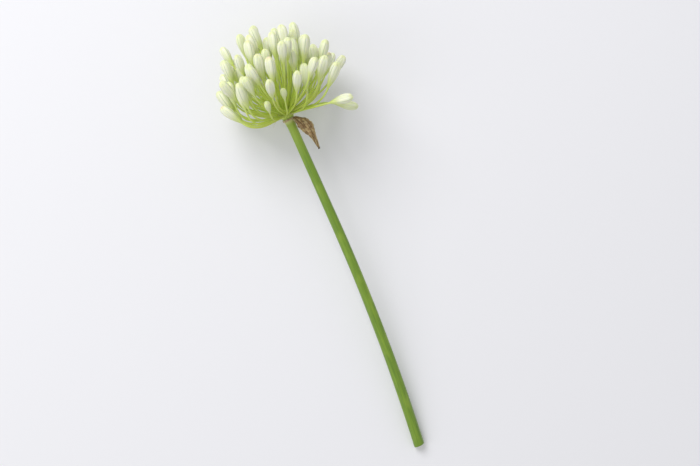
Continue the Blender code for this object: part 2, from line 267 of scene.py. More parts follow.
class Wire:
    """One output in a material's nodes. Arithmetic on wires and numbers adds Math nodes."""

    def __init__(self, tree, socket):
        self.tree = tree
        self.socket = socket

    def node(self, kind, settings, inputs, output=0):
        """A node of a kind: its settings first, then its inputs as values or wires."""
        made = self.tree.nodes.new(kind)
        for key, value in settings.items():
            setattr(made, key, value)
        for key, value in inputs.items():
            if isinstance(value, Wire):
                self.tree.links.new(value.socket, made.inputs[key])
            else:
                made.inputs[key].default_value = value
        return Wire(self.tree, made.outputs[output])

    def math(self, operation, *others):
        """This and the others through one Math node."""
        values = dict(enumerate((self, *others)))
        return self.node("ShaderNodeMath", {"operation": operation}, values)

    def __add__(self, other):
        return self.math("ADD", other)

    def __sub__(self, other):
        return self.math("SUBTRACT", other)

    def __rsub__(self, other):
        return self.node("ShaderNodeMath", {"operation": "SUBTRACT"}, {0: other, 1: self})

    def __mul__(self, other):
        return self.math("MULTIPLY", other)

    __radd__ = __add__
    __rmul__ = __mul__

    def step(self, low, high):
        """0 at low and 1 at high, smooth between; low may be the larger."""
        settings = {"interpolation_type": "SMOOTHSTEP"}
        return self.node("ShaderNodeMapRange", settings, {0: self, 1: low, 2: high})

    def mix(self, low, high, strength=None):
        """The colour low where this is 0 and high where it is 1, or only part of the way to high
        where a strength is given."""
        share = self if strength is None else self * strength
        low, high = (c if isinstance(c, Wire) else (*c, 1) for c in (low, high))
        return self.node("ShaderNodeMix", {"data_type": "RGBA"}, {0: share, 6: low, 7: high}, 2)

    def part(self, axis):
        """One of the three numbers of a place."""
        return self.node("ShaderNodeSeparateXYZ", {}, {0: self}, axis)

    def trait(self, name):
        """The number that every tube of the piece keeps under a name."""
        return self.node("ShaderNodeAttribute", {"attribute_name": name}, {}, 2)

    def noise(self, scale, detail=2.0, roughness=0.5):
        """Noise from 0 to 1 at this place."""
        values = {"Vector": self, "Scale": scale, "Detail": detail, "Roughness": roughness}
        return self.node("ShaderNodeTexNoise", {}, values)

    def rolled(self, along, round_scale, along_scale):
        """The place on a roll where this is the turn, so that a pattern closes round the tube. The
        larger the two scales, the finer the pattern round the tube and along it."""
        angle = self * FULL_TURN
        values = {
            0: angle.math("COSINE") * round_scale,
            1: angle.math("SINE") * round_scale,
            2: along * along_scale,
        }
        return self.node("ShaderNodeCombineXYZ", {}, values)


def new_finish(name, values):
    """A new Principled material with these values on its own sockets, and its two UV wires."""
    made = bpy.data.materials.new(name)
    made.use_nodes = True
    shader = made.node_tree.nodes["Principled BSDF"]
    for socket, value in values.items():
        shader.inputs[socket].default_value = value
    coordinate = made.node_tree.nodes.new("ShaderNodeTexCoord")
    uv = Wire(made.node_tree, coordinate.outputs["UV"])
    return made, uv.part(0), uv.part(1)


def dress(piece, made, colour, roughness=None, height=None, depth=None):
    """Feeds the shader's colour, roughness and bump, and puts the material on the piece."""
    shader = made.node_tree.nodes["Principled BSDF"]
    links = made.node_tree.links
    links.new(colour.socket, shader.inputs["Base Color"])
    if roughness is not None:
        links.new(roughness.socket, shader.inputs["Roughness"])
    if height is not None:
        bump = height.node("ShaderNodeBump", {}, {"Height": height, "Distance": depth})
        links.new(bump.socket, shader.inputs["Normal"])
    piece.data.materials.append(made)


stalk_skin, round_it, down_it = new_finish(
    "scape_skin",
    {
        "Subsurface Weight": 0.08,
        "Subsurface Radius": (0.5, 1.0, 0.2),
        "Subsurface Scale": 2 * MM,
        "Coat Weight": 0.12,
        "Coat Roughness": 0.35,
    },
)
streak = round_it.rolled(down_it, 3.2, 5).noise(2.2, 4, 0.6)
fleck = round_it.rolled(down_it, 11, 3).noise(1.6, 3, 0.6)
patch = round_it.rolled(down_it, 0.6, 16).noise(1.0, 3)
spot = round_it.rolled(down_it, 5, 60).noise(3.4, 2)
green = streak.step(0.32, 0.68).mix(STALK_GREEN, STREAK_GREEN)
green = patch.step(0.45, 0.75).mix(green, PATCH_GREEN, 0.55)
green = fleck.step(0.52, 0.78).mix(green, FLECK_GREEN, 0.35)
green = down_it.step(0.16, 0.0).mix(green, NECK_GREEN, 0.6)
green = spot.step(0.74, 0.78).mix(green, SPOT_BROWN, 0.7)
# The corky scar and the paler rim under it lie within about a fiftieth of the length.
torn_skin = round_it.rolled(down_it, 4, 900).noise(1.3, 4, 0.7)
cork = torn_skin.step(0.35, 0.68).mix(CORK_BROWN, CORK_STRAW)
cork = patch.step(0.5, 0.4).mix(cork, CORK_DARK, 0.6)
pale_rim = down_it.step(0.0085, 0.0105) * down_it.step(0.021, 0.0105)
green = pale_rim.mix(green, RIM_STRAW, 0.65)
is_scar = down_it.step(0.0032, 0.0045) * down_it.step(0.0102, 0.0085)
green = is_scar.mix(green, cork)
# On the cut face this is 1 at the edge and 0 at the middle, where the pith has darker strands.
off_middle = (1 + FACE_SPAN) / FACE_SPAN - down_it * (1 / FACE_SPAN)
cut_face = round_it.rolled(0, off_middle, 1)
cells = {"Vector": cut_face, "Scale": 8.5, "Randomness": 0.8}
strand = cut_face.node("ShaderNodeTexVoronoi", {}, cells)
pith = off_middle.step(0.93, 0.7).mix(RIND_GREEN, PITH_GREEN)
pith = cut_face.noise(5.0, 3).step(0.4, 0.7).mix(pith, PITH_CREAM, 0.4)
pith = strand.step(0.3, 0.14).mix(pith, STRAND_GREEN, 0.75)
green = down_it.step(1.0001, 1.0015).mix(green, pith)
dull = 0.38 + 0.08 * fleck.step(0.3, 0.8) + 0.4 * is_scar
height = 0.5 * fleck + streak + torn_skin * is_scar * 3
dress(scape, stalk_skin, green, dull, height, 0.14 * MM)
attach(scape, "root")
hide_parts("scape")


# The hub and its pedicels
# The receptacle is a low green dome. A fleshy, hairless yellow-green stalk for every bud leaves it,
# runs out nearly straight and turns up toward the light before it widens into the bud.

HUB_RADIUS = 7.8 * MM
FLORETS = 87
STRAYS = 2  # florets on the growth side that stand out level or hang back
SEED = 11
GOLDEN_ANGLE = math.pi * (3 - math.sqrt(5))
ROOT_SPREAD = math.radians(99)  # how far from the axis the roots of the florets reach
ROOT_SWAY = 0.16
TURN = 0.26  # share of its first angle that a floret keeps at its bud
TURN_SWAY = math.radians(20)
SIDE_SWAY = 0.45
TURN_POWER = 2.3  # a pedicel leaves the hub straight and turns mostly near its bud
GROWTH_LEAN = math.radians(16)  # the buds turn toward this side of the scape
STRAY_ROOT = (math.radians(88), math.radians(96))
STRAY_END = (math.radians(80), math.radians(125))
STRAY_AZIMUTH = (-0.4, 0.8)
INNER_PEDICEL = 66 * MM
OUTER_PEDICEL = 51 * MM
PEDICEL_SPAN = (0.86, 1.16)
PEDICEL_RADIUS = 0.95 * MM
WAVE = 0.09  # how far a pedicel's direction swings sideways and back
YOUNG_SHARE = 0.12  # of the buds are young, with these shares of a full one's stalk and size
YOUNG_SPAN = (0.62, 0.85)
YOUNG_SIZE = (0.42, 0.6)
YOUNG_THIN = 0.25  # how much of its thickness a pedicel loses for the growth its bud lacks
YOUNG_SLIM = 0.7  # and a bud of its own
BUD_SIZE = (0.84, 1.06)
BUD_LENGTH = 28 * MM
BUD_RADIUS = 5.2 * MM
NECK_POWER = 0.85  # the larger, the slimmer a bud's neck
END_POWER = 2.7  # the larger, the blunter its end
TIP_POWER = 0.57  # the smaller, the rounder its tip
OUTLINE_PEAK = 0.5622  # the largest value of a bud's outline before it is scaled to one
PEDICEL_STEPS = 32
BUD_STEPS = 16
SPREAD_ROUNDS = (90, 20)  # each count is followed by a lowering onto the surface
BUD_GAP = 0.5 * MM
FREE_STEP = 11  # nearer the hub the pedicels are packed together
STRIDE = 3  # from one step that is tested for room to the next
SURFACE_PUSH = 1.6
SWING_SHARE = 0.8  # of the swing that would clear every overlap, in each round
REST_REACH = 5 * MM  # a bud this near the surface is lowered onto it
REST_ROUNDS = 4


def floret_rule():
    """Per floret: first direction and bud direction, growth, pedicel length and sideways wave.
    The roots follow the golden angle over a cap, and a bud keeps a quarter of its first angle."""
    draw = random.Random(SEED)
    lean = AXIS * math.cos(GROWTH_LEAN) + SIDE * math.sin(GROWTH_LEAN)
    first, last, growth, length, wave = [], [], [], [], []
    for i in range(FLORETS + STRAYS):
        share = (i + 0.5) / FLORETS
        stray = i >= FLORETS
        if stray:
            root = draw.uniform(*STRAY_ROOT)
            azimuth = draw.uniform(*STRAY_AZIMUTH)
        else:
            root = math.acos(1 - share * (1 - math.cos(ROOT_SPREAD)))
            azimuth = i * GOLDEN_ANGLE + draw.uniform(-ROOT_SWAY, ROOT_SWAY)
        out = SIDE * math.cos(azimuth) + OVER * math.sin(azimuth)
        start = AXIS * math.cos(root) + out * math.sin(root)
        away = start - lean * (start @ lean)
        away = away / np.linalg.norm(away)
        across = np.cross(lean, away)
        sway = draw.uniform(-SIDE_SWAY, SIDE_SWAY)
        away = away * math.cos(sway) + across * math.sin(sway)
        end = TURN * math.acos(start @ lean) + draw.uniform(-TURN_SWAY, TURN_SWAY)
        if stray:
            end = draw.uniform(*STRAY_END)
        young = draw.random() < YOUNG_SHARE
        size = draw.uniform(*(YOUNG_SIZE if young else BUD_SIZE))
        span = INNER_PEDICEL + (OUTER_PEDICEL - INNER_PEDICEL) * min(share, 1)
        span *= draw.uniform(*(YOUNG_SPAN if young else PEDICEL_SPAN))
        first.append(start)
        last.append(lean * math.cos(end) + away * math.sin(end))
        growth.append(size)
        length.append(span)
        wave.append(across * draw.uniform(-WAVE, WAVE))
    return [np.array(column) for column in (first, last, growth, length, wave)]


def floret_paths(first, last, growth, length, wave):
    """Centre lines from the hub to the bud tips: the sum of short steps whose direction goes from
    the first to the last by a power of the way along, with one sideways swing."""
    along = np.linspace(0, 1, PEDICEL_STEPS + 1)
    blend = np.concatenate([along**TURN_POWER, np.ones(BUD_STEPS)])[None, :, None]
    swell = np.concatenate([np.sin(FULL_TURN * along), np.zeros(BUD_STEPS)])[None, :, None]
    aim = unit(first[:, None] * (1 - blend) + last[:, None] * blend + wave[:, None] * swell)
    step = np.concatenate(
        [
            np.repeat((length / PEDICEL_STEPS)[:, None], PEDICEL_STEPS, 1),
            np.repeat((BUD_LENGTH * growth / BUD_STEPS)[:, None], BUD_STEPS, 1),
        ],
        1,
    )
    moves = (aim[:, 1:] + aim[:, :-1]) / 2 * step[:, :, None]
    start = np.zeros((len(first), 1, 3))
    return HUB + np.concatenate([start, np.cumsum(moves, 1)], 1)


def bud_outline(share, neck_power, end_power):
    """Radius along a bud, not yet scaled: a taper from the pedicel times a rounded tip."""
    return share**neck_power * np.clip(1 - share**end_power, 0, 1) ** TIP_POWER


def bud_radius(growth):
    """Largest radius of a bud: a young one is slim."""
    return BUD_RADIUS * (1 - YOUNG_SLIM * (1 - growth))


def floret_radii(growth):
    """Radius at each step of the path: the pedicel's, which fades out inside the bud's own."""
    along = np.linspace(0, 1, BUD_STEPS + 1)
    thin = PEDICEL_RADIUS * (1 - YOUNG_THIN * (1 - growth))
    stalk = thin[:, None] * np.sqrt(1 - along)[None]
    outline = bud_outline(along, NECK_POWER, END_POWER) / OUTLINE_PEAK
    bud = np.hypot(stalk, bud_radius(growth)[:, None] * outline[None])
    return np.concatenate([np.repeat(thin[:, None], PEDICEL_STEPS, 1), bud], 1)


def turned(paths, spin):
    """The paths turned about the hub by rotation vectors, with Rodrigues' formula."""
    angle = np.linalg.norm(spin, axis=1)[:, None, None]
    pivot = spin[:, None] / (angle + 1e-12)
    arm = paths - HUB
    beside = np.cross(np.broadcast_to(pivot, arm.shape), arm)
    along = pivot * (arm * pivot).sum(-1, keepdims=True)
    return HUB + arm * np.cos(angle) + beside * np.sin(angle) + along * (1 - np.cos(angle))


def spread(paths, radii):
    """Swings the florets about the hub until all have room and none is under the surface, then
    lowers the nearest buds onto it. Each overlap pushes both florets apart by half of it. The tiny
    numbers only keep zeros out of the divisions."""
    count = len(paths)
    take = np.arange(FREE_STEP, paths.shape[1], STRIDE)
    size = radii[:, take].reshape(-1)
    owner = np.repeat(np.arange(count), len(take))
    room = size[:, None] + size[None] + BUD_GAP
    room[owner[:, None] == owner[None]] = 0
    for rounds in SPREAD_ROUNDS:
        for _ in range(rounds):
            arm = (paths[:, take] - HUB).reshape(-1, 3)
            apart = arm[:, None] - arm[None]
            distance = np.sqrt((apart**2).sum(-1)) + 1e-9
            short = np.clip(room - distance, 0, None) / 2
            push = (apart * (short / distance)[..., None]).sum(1)
            under = arm[:, 2] + HUB[2] - size
            push[:, 2] += SURFACE_PUSH * np.clip(-under, 0, None)
            torque = np.cross(arm, push).reshape(count, -1, 3).sum(1)
            moved = np.abs(push).sum(-1) > 0
            weight = np.where(moved, (arm**2).sum(-1), 0).reshape(count, -1).sum(1) + 1e-12
            paths = turned(paths, SWING_SHARE * torque / weight[:, None])
        for _ in range(REST_ROUNDS):
            steep = unit(np.gradient(paths, axis=1))[..., 2]
            low = paths[..., 2] - radii * np.sqrt(1 - steep**2)
            lowest = low.argmin(1)
            arm = paths[np.arange(count), lowest] - HUB
            fall = low.min(1)
            fall = np.where(fall < REST_REACH, fall, 0)
            push = np.zeros((count, 3))
            push[:, 2] = -fall
            reach = arm[:, 0] ** 2 + arm[:, 1] ** 2 + 1e-12
            spin = np.cross(arm, push) / reach[:, None]
            paths = turned(paths, spin)
    return paths


LOOKS_SEED = 5  # of every floret's own tint and shape
PEDICEL_SIDES = 12
FIRST_STEP = 2  # nearer its middle the hub hides the pedicels
INTO_BUD = 2  # steps that a pedicel goes on inside its bud
BUD_TAPER = (0.97, 0.8)  # of its thickness at the last two of its steps
PEDICEL_ENDS = (1 * MM, 0.5 * MM)  # how far its closing points lie past its first and last step
ROOT_SWELL = 0.45
ROOT_FADE = 1.6 * MM
LUMP = 0.06  # a slow change of a pedicel's thickness along it
LUMP_LENGTH = 3.1 * MM
ACROSS_START = np.array([0.3, 0.2, 0.93])  # a direction that no path follows

# Heights over the centre of the hub, along the axis
HUB_FOOT = -3.9 * MM
FOOT_RINGS = ((HUB_FOOT, 5.85 * MM), (-3.2 * MM, 6.35 * MM))  # height and radius
DOME_FOOT = -2.4 * MM
DOME_SPAN = (-0.2, 0.985)  # of the other rings of the dome, as shares of its radius
DOME_ROWS = 18
HUB_SIDES = 60
HUB_LUMP = 0.07 * MM

YOUNG_GREEN = (0.58, 0.7, 0.1)
PEDICEL_GREEN = (0.52, 0.64, 0.072)
YELLOW_GREEN = (0.64, 0.69, 0.14)
DEEP_GREEN = (0.37, 0.52, 0.052)
CLOUD_GREEN = (0.64, 0.72, 0.19)
JOINT_GREEN = (0.61, 0.72, 0.19)  # where a pedicel widens into its bud
GRAIN_LIGHT = (0.68, 0.74, 0.26)
GRAIN_DARK = (0.32, 0.45, 0.034)
HUB_GREEN = (0.4, 0.53, 0.06)
HUB_LIGHT = (0.56, 0.67, 0.12)
HUB_TAN = (0.55, 0.45, 0.25)


def carried(centre, aim):
    """Two unit vectors across each row of each path. The first follows the row before it without
    twist: what points along the path is taken out of it and its length made one again."""
    across = np.zeros_like(centre)
    before = np.broadcast_to(ACROSS_START, centre[:, 0].shape)
    for k in range(centre.shape[1]):
        along = (before * aim[:, k]).sum(-1, keepdims=True)
        before = unit(before - aim[:, k] * along)
        across[:, k] = before
    return across, np.cross(aim, across)


def tube_rings(centre, aim, thick, sides):
    """Points of round tubes along paths: at each row a circle of its radius, square to the path."""
    frame_a, frame_b = carried(centre, aim)
    turn = np.linspace(0, FULL_TURN, sides, endpoint=False)[:, None]
    circle = frame_a[:, :, None] * np.cos(turn) + frame_b[:, :, None] * np.sin(turn)
    return centre[:, :, None] + thick[..., None, None] * circle


first, last, growth, length, wave = floret_rule()
radii = floret_radii(growth)
paths = spread(floret_paths(first, last, growth, length, wave), radii)
count = len(paths)
draw = np.random.default_rng(LOOKS_SEED)
tint = draw.random(count)

take = np.arange(FIRST_STEP, PEDICEL_STEPS + INTO_BUD + 1)
centre = paths[:, take]
aim = unit(np.gradient(paths, axis=1))[:, take]
away = np.linalg.norm(centre - HUB, axis=-1)
thick = np.broadcast_to(radii[:, PEDICEL_STEPS, None], away.shape)
thick = thick * (1 + ROOT_SWELL * np.exp(-np.clip(away - HUB_RADIUS, 0, None) / ROOT_FADE))
thick = thick * (1 + LUMP * np.sin(away / LUMP_LENGTH + PHASES[1] * tint[:, None]))
thick[:, -len(BUD_TAPER):] *= BUD_TAPER
pedicels = skin(
    "umbel_pedicels",
    tube_rings(centre, aim, thick, PEDICEL_SIDES),
    centre[:, 0] - aim[:, 0] * PEDICEL_ENDS[0],
    centre[:, -1] + aim[:, -1] * PEDICEL_ENDS[1],
    take / PEDICEL_STEPS,
    {"tint": tint},
)

foot_height, foot_radius = np.array(FOOT_RINGS).T
dome = HUB_RADIUS * np.linspace(*DOME_SPAN, DOME_ROWS)
height = np.concatenate([foot_height, [DOME_FOOT], dome])
wide = np.sqrt(np.clip(HUB_RADIUS**2 - height**2, 0, None))
wide[: len(foot_radius)] = foot_radius
turn = np.linspace(0, FULL_TURN, HUB_SIDES, endpoint=False)
lump = HUB_LUMP * wander(turn[None], height[:, None] * 6, seed=21, waves=6)
across = np.cos(turn)[:, None] * SIDE + np.sin(turn)[:, None] * OVER
rings = HUB + AXIS * height[:, None, None] + (wide[:, None] + lump)[..., None] * across
hub = skin(
    "umbel_hub",
    rings[None],
    (HUB + AXIS * HUB_FOOT)[None],
    (HUB + AXIS * HUB_RADIUS)[None],
    (height - HUB_FOOT) / (HUB_RADIUS - HUB_FOOT),
)

flesh = {
    "Subsurface Weight": 0.15,
    "Subsurface Radius": (0.6, 1.0, 0.15),
    "Subsurface Scale": 1.5 * MM,
}
stalk_green, round_it, down_it = new_finish("pedicel_green", {**flesh, "Roughness": 0.42})
own = down_it.trait("tint")
cloud = round_it.rolled(down_it, 0.5, 5).noise(1.5, 3)
grain = round_it.rolled(down_it, 2.2, 9).noise(2.4, 3, 0.6)
leafy = down_it.step(0.0, 0.55).mix(YOUNG_GREEN, PEDICEL_GREEN)
leafy = own.step(0.55, 1.0).mix(leafy, YELLOW_GREEN, 0.5)
leafy = own.step(0.3, 0.0).mix(leafy, DEEP_GREEN, 0.5)
leafy = cloud.step(0.4, 0.8).mix(leafy, CLOUD_GREEN, 0.4)
leafy = down_it.step(0.68, 1.0).mix(leafy, JOINT_GREEN, 0.95)
leafy = grain.step(0.5, 0.75).mix(leafy, GRAIN_LIGHT, 0.35)
leafy = grain.step(0.42, 0.25).mix(leafy, GRAIN_DARK, 0.35)
dress(pedicels, stalk_green, leafy, 0.34 + 0.16 * grain, grain, 0.15 * MM)

hub_green, round_it, down_it = new_finish("hub_green", {**flesh, "Roughness": 0.5})
cloud = round_it.rolled(down_it, 3, 4).noise(1.7, 3)
leafy = cloud.step(0.35, 0.7).mix(HUB_GREEN, HUB_LIGHT)
leafy = cloud.step(0.62, 0.72).mix(leafy, HUB_TAN, 0.6)
dress(hub, hub_green, leafy, 0.4 + 0.2 * cloud, cloud, 0.4 * MM)
for piece in (pedicels, hub):
    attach(piece, "root")
    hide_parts("umbel")


# The buds
# Each is six folded tepals, three broad outer ones over three narrow inner ones, closed to a blunt
# tip. They are cream-white, green at the neck, with grey-green midribs and a yellow-green tip.

THIRD = 120  # degrees from one outer tepal's midrib to the next
SECTOR = np.radians([-60, -50, -40, -36, -27, -14, 0, 14, 27, 36, 40, 50])  # points of a third
EDGE_DEGREES = 38  # from an outer tepal's midrib to its edge
OUTER_EDGE = math.radians(EDGE_DEGREES)

# Relief, against the bud's radius, and widths round the bud in radians
RELIEF_START = 0.08
RELIEF_SPAN = 0.3
OUTER_RISE = 0.05
ARCH_RISE = 0.05
INNER_ARCH = 0.7  # of the outer tepals' arch
INNER_WIDTH = 0.38
GROOVE_DEPTH = 0.035
GROOVE_WIDTH = 0.045
KEEL_RISE = 0.012
KEEL_WIDTH = 0.12
EDGE_BLEND = 0.07
TIP_RELIEF = 0.6  # how much higher all relief is at the tip
INSET = 0.1  # how far the whole lies inside the round outline, so that no two buds meet

# The tip, in shares of the bud's length
LOBE_START = 0.74
LOBE_SPAN = 0.24
LOBE_RISE = 0.13
HOOD_RISE = 0.05
SEAM_SINK = 0.03
MEET_START = 0.76
MEET_SPAN = 0.2
MEET_EDGE = math.radians(58.5)

BUD_ROOT = 1.2 * MM  # how far its closing point lies inside the pedicel
HIDDEN_SHARE = -0.03  # the first ring lies inside the pedicel too
HIDDEN_RING = 0.8  # of the pedicel's thickness
BODY_END = 0.86
BODY_ROWS = 21
TIP_ROWS = (0.89, 0.918, 0.942, 0.962, 0.977, 0.988, 0.995, 0.9988)
NECK_POWERS = (0.74, 0.98)
END_POWERS = (2.3, 3.1)
MOST_BOW = 0.25 * MM  # that the middle of a bud stands off the line from its neck to its tip
BUD_TWIST = 0.25  # turn of the tepals from neck to tip, in radians
BUD_UNEVEN = 0.02  # how far a bud's section is off round

BODY_GREEN = (0.7, 0.76, 0.36)
CREAM_WHITE = (0.87, 0.885, 0.7)
VEIN_CREAM = (0.74, 0.79, 0.49)
CLOUD_CREAM = (0.79, 0.83, 0.5)
INNER_CREAM = (0.72, 0.78, 0.49)
MIDRIB_GREEN = (0.44, 0.53, 0.34)
# The seam colour is partly the tepals' own grey-green and partly painted shade in the groove at
# their edges.
SEAM_SHADE_GREEN = (0.46, 0.54, 0.33)
TIP_GREEN = (0.72, 0.79, 0.36)
TIP_PINK = (0.8, 0.6, 0.4)
GREENISH = (0.7, 0.78, 0.4)
YOUNG_BUD = (0.68, 0.77, 0.35)


def tepal_relief(turn, share):
    """How far the surface stands off the bud's round outline, against its radius: outer tepals
    stand over inner ones, each is arched across, a keel runs along the midrib and a groove along
    every edge. All of it lies a little inside the outline, and it grows from the neck on."""
    off = np.abs(turn)
    outer = np.clip((OUTER_EDGE + EDGE_BLEND / 2 - off) / EDGE_BLEND, 0, 1)
    inner_off = (math.radians(THIRD / 2) - off) / INNER_WIDTH
    arch = outer * np.cos(off / OUTER_EDGE * math.pi / 2)
    arch = arch + (1 - outer) * INNER_ARCH * np.cos(inner_off * math.pi / 2)
    groove = np.exp(-(((off - OUTER_EDGE) / GROOVE_WIDTH) ** 2))
    keel = np.exp(-((off / KEEL_WIDTH) ** 2))
    fade = np.clip((share - RELIEF_START) / RELIEF_SPAN, 0, 1) * (1 + TIP_RELIEF * share**8)
    rise = OUTER_RISE * outer + ARCH_RISE * arch - GROOVE_DEPTH * groove + KEEL_RISE * keel
    return fade * (rise - INSET)


def tip_lobes(turn, share):
    """The ends of the outer tepals: three lobes on the midribs, each with a narrower hood, and
    seams between them. They come in smoothly over the last quarter of the bud."""
    late = np.clip((share - LOBE_START) / LOBE_SPAN, 0, 1)
    hood = np.cos(turn * 1.5) ** 8
    return late**2 * (LOBE_RISE * np.cos(3 * turn) + HOOD_RISE * hood - SEAM_SINK)


def meeting(turn, share):
    """Where a point of the bud's section goes as the outer tepals meet over the inner ones: their
    edges widen smoothly from 38 degrees to nearly 60, and the rest is stretched to match."""
    late = np.clip((share - MEET_START) / MEET_SPAN, 0, 1)
    edge = OUTER_EDGE + (MEET_EDGE - OUTER_EDGE) * late**2 * (3 - 2 * late)
    off = np.abs(turn)
    middle = math.radians(THIRD / 2)
    inner = middle - (middle - off) * (middle - edge) / (middle - OUTER_EDGE)
    return np.sign(turn) * np.where(off <= OUTER_EDGE, off * edge / OUTER_EDGE, inner)


share = np.concatenate([[HIDDEN_SHARE], np.linspace(0, BODY_END, BODY_ROWS), TIP_ROWS])
grown = np.clip(share, 0, None)
turn = (SECTOR[None] + np.radians([0, THIRD, 2 * THIRD])[:, None]).reshape(-1)
from_rib = np.tile(SECTOR, 3)
relief = tepal_relief(from_rib[None], grown[:, None]) + tip_lobes(from_rib[None], grown[:, None])
closed = turn[None] - from_rib[None] + meeting(from_rib[None], grown[:, None])
end_power = draw.uniform(*END_POWERS, count)[:, None]
neck_power = draw.uniform(*NECK_POWERS, count)[:, None]
outline = bud_outline(grown, neck_power, end_power)
outline = outline / outline.max(1, keepdims=True)
stalk = radii[:, PEDICEL_STEPS, None] * np.sqrt(1 - share)
wide = np.hypot(stalk, bud_radius(growth)[:, None] * outline)
wide[:, 0] *= HIDDEN_RING
base = paths[:, PEDICEL_STEPS]
aim = unit(paths[:, -1] - base)
bud_length = BUD_LENGTH * growth
pick = draw.normal(size=(count, 3))
frame_a = unit(np.cross(aim, pick))
frame_b = np.cross(aim, frame_a)
bow = np.sin(math.pi * grown)[None] * draw.uniform(0, MOST_BOW, count)[:, None] * growth[:, None]
centre = base[:, None] + aim[:, None] * (bud_length[:, None] * share)[..., None]
centre = centre + frame_b[:, None] * bow[..., None]
roll = draw.uniform(0, FULL_TURN, count)[:, None] + BUD_TWIST * share[None]
angle = closed[None] + roll[:, :, None]
uneven = 1 + BUD_UNEVEN * np.sin(2 * angle + draw.uniform(*PHASES, count)[:, None, None])
circle = frame_a[:, None, None] * np.cos(angle)[..., None]
circle = circle + frame_b[:, None, None] * np.sin(angle)[..., None]
rings = centre[:, :, None] + (wide[..., None] * (1 + relief[None]) * uneven)[..., None] * circle
buds = skin(
    "umbel_buds",
    rings,
    base - aim * BUD_ROOT,
    base + aim * bud_length[:, None],
    share,
    {"tint": tint, "growth": growth},
    np.concatenate([turn, [turn[0] + FULL_TURN]]) / FULL_TURN,
)

tepal, round_it, down_it = new_finish(
    "tepal_white",
    {
        "Subsurface Weight": 0.3,
        "Subsurface Radius": (1.0, 0.9, 0.45),
        "Subsurface Scale": 2.5 * MM,
        "Roughness": 0.5,
        "Sheen Weight": 0.06,
        "Coat Weight": 0.05,
        "Coat Roughness": 0.3,
    },
)
own = down_it.trait("tint")
ripe = down_it.trait("growth")
# Degrees round the bud from the nearest midrib of an outer tepal
off = ((round_it * 3 + 0.5).math("FRACT") - 0.5).math("ABSOLUTE") * THIRD
vein = round_it.rolled(down_it, 7, 1.4).noise(2.2, 3, 0.6)
cloud = round_it.rolled(down_it, 0.7, 2.5).noise(1.4, 2)
body = down_it.step(0.28, 0.6).mix(BODY_GREEN, CREAM_WHITE)
body = vein.step(0.4, 0.75).mix(body, VEIN_CREAM, 0.35)
body = cloud.step(0.45, 0.8).mix(body, CLOUD_CREAM, 0.35)
body = off.step(EDGE_DEGREES + 1, EDGE_DEGREES + 5).mix(body, INNER_CREAM, 0.5)
# The streak on a midrib has ragged sides and fades out toward neck and tip. A grey-green line runs
# along
# the edges of the outer tepals: partly their own tone, partly painted shade of the groove there.
ragged = (vein - 0.5) * 5
rib = (off + ragged).step(8.5, 1) * down_it.step(0.1, 0.45) * down_it.step(0.99, 0.84)
body = rib.mix(body, MIDRIB_GREEN, 0.72)
# Painted shade, with some of the tepals' own tone, along the groove at the outer tepals' edges.
seam_shade = (off - (EDGE_DEGREES + 0.5)).math("ABSOLUTE").step(4, 0.3) * down_it.step(0.05, 0.35)
body = seam_shade.mix(body, SEAM_SHADE_GREEN, 0.42)
neck = down_it + (vein - 0.5) * 0.16
body = neck.step(0.44, 0.06).mix(body, JOINT_GREEN)
tip = down_it + (cloud - 0.5) * 0.1
body = tip.step(0.82, 0.98).mix(body, TIP_GREEN, 0.68)
body = (own.step(0.86, 0.95) * tip.step(0.9, 1.0)).mix(body, TIP_PINK, 0.6)
body = own.step(0.3, 0.0).mix(body, GREENISH, 0.4)
body = ripe.step(0.85, 0.45).mix(body, YOUNG_BUD, 0.55)
dress(buds, tepal, body, 0.42 + 0.12 * vein, vein, 0.12 * MM)
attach(buds, "root")
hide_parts("umbel")


# The threads among the pedicels
# Dry bracteoles as thin as hairs stand between the roots of the pedicels. They are pale straw to
# brown, and curl outward and back over the scar.

THREADS = 54
THREAD_ROWS = 7
THREAD_SIDES = 3
THREAD_SEED = 17
THREAD_LIFT = (62, 104)  # degrees from the axis
THREAD_REACH = (6, 15)  # in mm
THREAD_RADIUS = (0.13, 0.26)  # in mm
THREAD_ROOT = 0.9 * MM  # how deep in the hub it starts
THREAD_POINT = 0.3 * MM
THREAD_TAPER = 0.8  # of its thickness that it loses toward its end
THREAD_BEND = 1.4
BEND_POWER = 1.5  # it bends mostly near its end
BACKWARD = (-0.9, 0.5)  # along the axis: most threads bend back over the scar
SIDEWAYS = (-0.8, 0.8)

PALE_STRAW = (0.72, 0.66, 0.46)
THREAD_BROWN = (0.42, 0.27, 0.13)
END_BROWN = (0.5, 0.34, 0.18)

draw = np.random.default_rng(THREAD_SEED)
azimuth = draw.uniform(0, FULL_TURN, THREADS)
lift = np.radians(draw.uniform(*THREAD_LIFT, THREADS))
out = np.cos(azimuth)[:, None] * SIDE + np.sin(azimuth)[:, None] * OVER
start = np.cos(lift)[:, None] * AXIS + np.sin(lift)[:, None] * out
beside = np.cross(AXIS, out)
reach = draw.uniform(*THREAD_REACH, THREADS) * MM
share = np.linspace(0, 1, THREAD_ROWS)
back = draw.uniform(*BACKWARD, THREADS)[:, None, None] * AXIS
curl = draw.uniform(*SIDEWAYS, THREADS)[:, None, None] * beside[:, None]
heading = unit(start[:, None] + share[:, None] ** BEND_POWER * (back + curl) * THREAD_BEND)
moves = heading * (reach / THREAD_ROWS)[:, None, None]
centre = HUB + start[:, None] * (HUB_RADIUS - THREAD_ROOT) + np.cumsum(moves, 1)
thin = draw.uniform(*THREAD_RADIUS, THREADS)[:, None] * (1.1 - THREAD_TAPER * share) * MM
threads = skin(
    "bracteole_threads",
    tube_rings(centre, heading, thin, THREAD_SIDES),
    centre[:, 0],
    centre[:, -1] + heading[:, -1] * THREAD_POINT,
    share,
    {"tint": draw.random(THREADS)},
)
straw, round_it, down_it = new_finish("thread_straw", {"Roughness": 0.7})
dry = down_it.trait("tint").step(0.55, 0.9).mix(PALE_STRAW, THREAD_BROWN)
